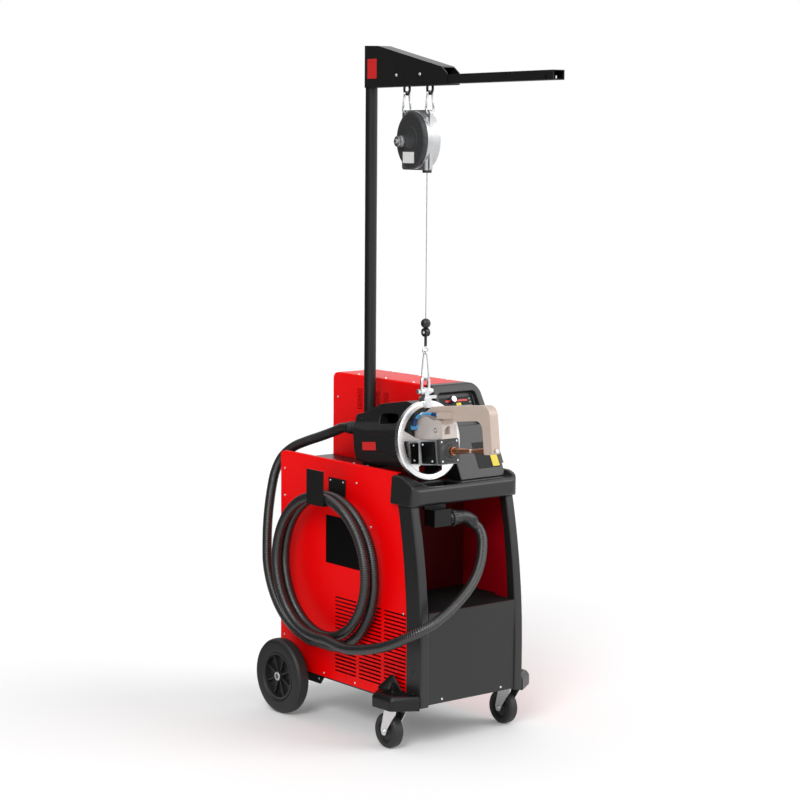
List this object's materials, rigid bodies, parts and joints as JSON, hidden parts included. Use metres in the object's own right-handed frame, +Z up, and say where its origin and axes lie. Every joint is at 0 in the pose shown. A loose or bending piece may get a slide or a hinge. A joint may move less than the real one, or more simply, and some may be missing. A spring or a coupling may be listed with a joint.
{
  "type": "mobile spot welding machine",
  "caption": "Wheeled spot welding power unit with mast and arm, spring balancer, hose package on a side hook and hanging C-type welding gun",
  "frame": {"origin": "on the floor, under the middle of the box round the machine without its hose", "axes": "+Z up, -Y to the front where the trays and controls are, +X to the right as seen from the front, which is the side of the raised cabinet"},
  "size_m": [0.5426, 1.2707, 1.975],
  "materials": {
    "black_steel": "satin powder coat",
    "red_paint": "gloss red powder coat",
    "dark_red": "red powder coat in shade",
    "grey_moulding": "fine-grained dark grey moulding",
    "black_moulding": "fine-grained black moulding",
    "gun_plastic": "fine-grained black moulding",
    "zinc": "bright zinc plate",
    "aluminium": "cast and machined",
    "dark_aluminium": "dark grey cast",
    "head_alloy": "warm cast alloy",
    "copper": "bare copper",
    "black_rubber": "matt black rubber",
    "hub_plastic": "matt black",
    "tyre": "matt rubber tread",
    "terminal_black": "black insulating plate",
    "blue_tube": "blue polyurethane"
  },
  "bodies": {
    "cart": {"chassis": "black_steel", "left_side_panel": "red_paint", "right_side_panel": "red_paint", "back_panel": "black_steel", "bay_liner": "dark_red", "front_lower_panel": "black_steel", "left_column": "grey_moulding", "right_column": "grey_moulding", "left_foot": "black_moulding", "right_foot": "black_moulding", "front_tray": "grey_moulding", "control_housing": "grey_moulding", "upper_cabinet": "red_paint", "control_board": "black_moulding", "mast": "black_steel", "mast_socket": "black_steel", "arm_bracket": "black_steel", "balancer_hangers": "zinc", "balancer_case": "aluminium", "balancer_cover": "dark_aluminium", "rope_buffer": "black_rubber", "hose_hook": "black_steel", "hose_socket": "black_steel", "rear_axle": "zinc", "cart_screws": "zinc", "hose_rear": "black_rubber", "hose_coil": "black_rubber", "hose_front": "black_rubber", "hose_plug": "black_rubber", "balancer_rope": "zinc"},
    "left_wheel": {"left_tyre": "tyre", "left_hub": "hub_plastic"},
    "right_wheel": {"right_tyre": "tyre", "right_hub": "hub_plastic"},
    "left_caster": {"left_caster_fork": "zinc"},
    "left_caster_roller": {"left_caster_wheel": "tyre"},
    "right_caster": {"right_caster_fork": "zinc"},
    "right_caster_roller": {"right_caster_wheel": "tyre"},
    "arm": {"arm_tube": "black_steel"},
    "rope_drum": {"balancer_drum": "aluminium"},
    "tension_adjuster": {"tension_knob": "zinc"},
    "control": {"control_knob": "zinc"},
    "switch": {"main_switch": "black_moulding"},
    "gun": {"rope_stop": "black_rubber", "gun_carabiner": "zinc", "gun_shackle": "zinc", "support_ring": "aluminium", "left_gun_shell": "gun_plastic", "right_gun_shell": "gun_plastic", "gun_screws": "zinc", "gun_head": "head_alloy", "transformer_box": "aluminium", "terminal_plates": "terminal_black", "cylinder_flange": "dark_aluminium", "c_arm": "head_alloy", "fixed_electrode": "copper", "air_tube": "blue_tube", "hose_cuff": "black_rubber"},
    "electrode": {"moving_electrode": "copper"},
    "trigger": {"gun_trigger": "black_moulding"}
  },
  "joints": [
    {"name": "left_wheel_spin", "type": "hinge", "parent": "cart", "child": "left_wheel", "pos_m": [-0.234, 0.51013, 0.1125], "axis": [1, 0, 0], "continuous": true},
    {"name": "right_wheel_spin", "type": "hinge", "parent": "cart", "child": "right_wheel", "pos_m": [0.234, 0.51013, 0.1125], "axis": [1, 0, 0], "continuous": true},
    {"name": "left_caster_swivel", "type": "hinge", "parent": "cart", "child": "left_caster", "pos_m": [-0.215, -0.00887, 0.12], "axis": [0, 0, 1], "continuous": true},
    {"name": "left_caster_spin", "type": "hinge", "parent": "left_caster", "child": "left_caster_roller", "pos_m": [-0.215, 0.01913, 0.05], "axis": [1, 0, 0], "continuous": true},
    {"name": "right_caster_swivel", "type": "hinge", "parent": "cart", "child": "right_caster", "pos_m": [0.215, -0.00887, 0.12], "axis": [0, 0, 1], "continuous": true},
    {"name": "right_caster_spin", "type": "hinge", "parent": "right_caster", "child": "right_caster_roller", "pos_m": [0.215, 0.01913, 0.05], "axis": [1, 0, 0], "continuous": true},
    {"name": "arm_extend", "type": "slide", "parent": "cart", "child": "arm", "axis": [-0.1564, -0.9877, 0], "range_m": [-0.15, 0.06]},
    {"name": "gun_lift", "type": "slide", "parent": "cart", "child": "gun", "axis": [0, 0, 1], "range_m": [0, 0.4], "deforming": ["balancer_rope"]},
    {"name": "rope_drum_turn", "type": "hinge", "parent": "cart", "child": "rope_drum", "pos_m": [-0.08724, 0.06746, 1.706], "axis": [-0.9877, 0.1564, 0], "range_deg": [0, 480]},
    {"name": "tension_turn", "type": "hinge", "parent": "cart", "child": "tension_adjuster", "pos_m": [-0.11092, 0.10968, 1.702], "axis": [0.9877, -0.1564, 0], "continuous": true},
    {"name": "control_knob_turn", "type": "hinge", "parent": "cart", "child": "control", "pos_m": [0.085, 0.11679, 0.95799], "axis": [0, -0.9063, 0.4226], "continuous": true},
    {"name": "main_switch_turn", "type": "hinge", "parent": "cart", "child": "switch", "pos_m": [0.1, 0.59413, 0.56], "axis": [0, 1, 0], "range_deg": [0, 90]},
    {"name": "electrode_stroke", "type": "slide", "parent": "gun", "child": "electrode", "axis": [0, 0.9936, -0.1132], "range_m": [0, 0.05]},
    {"name": "trigger_push", "type": "slide", "parent": "gun", "child": "trigger", "axis": [0, 0.1132, 0.9936], "range_m": [0, 0.003], "stiffness_N_per_m": 800}
  ],
  "couplings": [
    {"joint": "rope_drum_turn", "follows": "gun_lift", "rad_per_m": 20}
  ]
}
